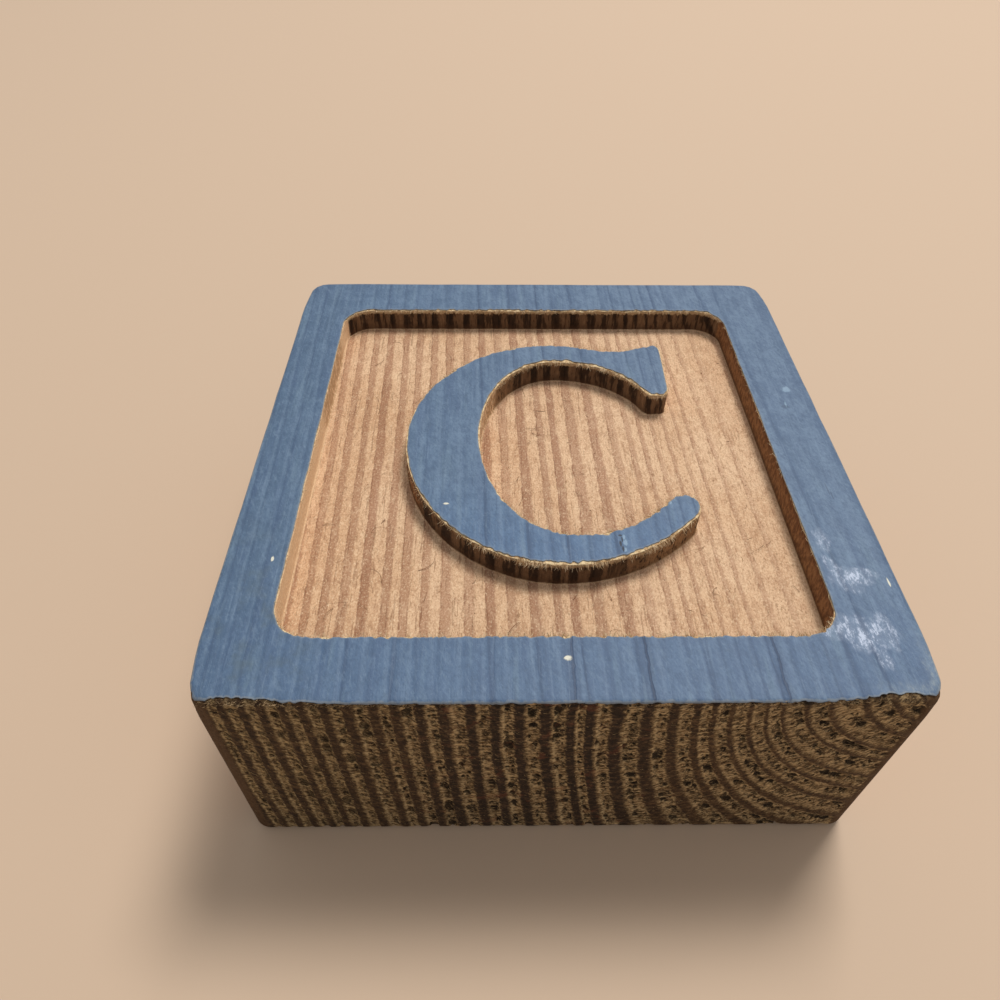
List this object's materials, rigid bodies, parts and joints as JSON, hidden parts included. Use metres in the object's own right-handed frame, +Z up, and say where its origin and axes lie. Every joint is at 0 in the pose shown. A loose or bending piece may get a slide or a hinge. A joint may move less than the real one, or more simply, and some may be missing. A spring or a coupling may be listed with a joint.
{
  "type": "alphabet block",
  "caption": "Flat, nearly square wooden toy block with a raised painted border and one raised painted capital letter in a routed recess.",
  "frame": {"origin": "centre of the base, on the surface that the block rests on", "axes": "+Z up through the lettered face, +Y along the grain towards the top of the letter, +X to the reader's right"},
  "size_m": [0.089, 0.0922, 0.038],
  "materials": {
    "softwood": "bare, sawn end grain and routed floor",
    "blue_paint": "matt grey-blue paint, thin, grain showing through"
  },
  "bodies": {
    "root": {"block_body": "softwood", "border_paint": "blue_paint", "letter_paint": "blue_paint"}
  },
  "joints": []
}
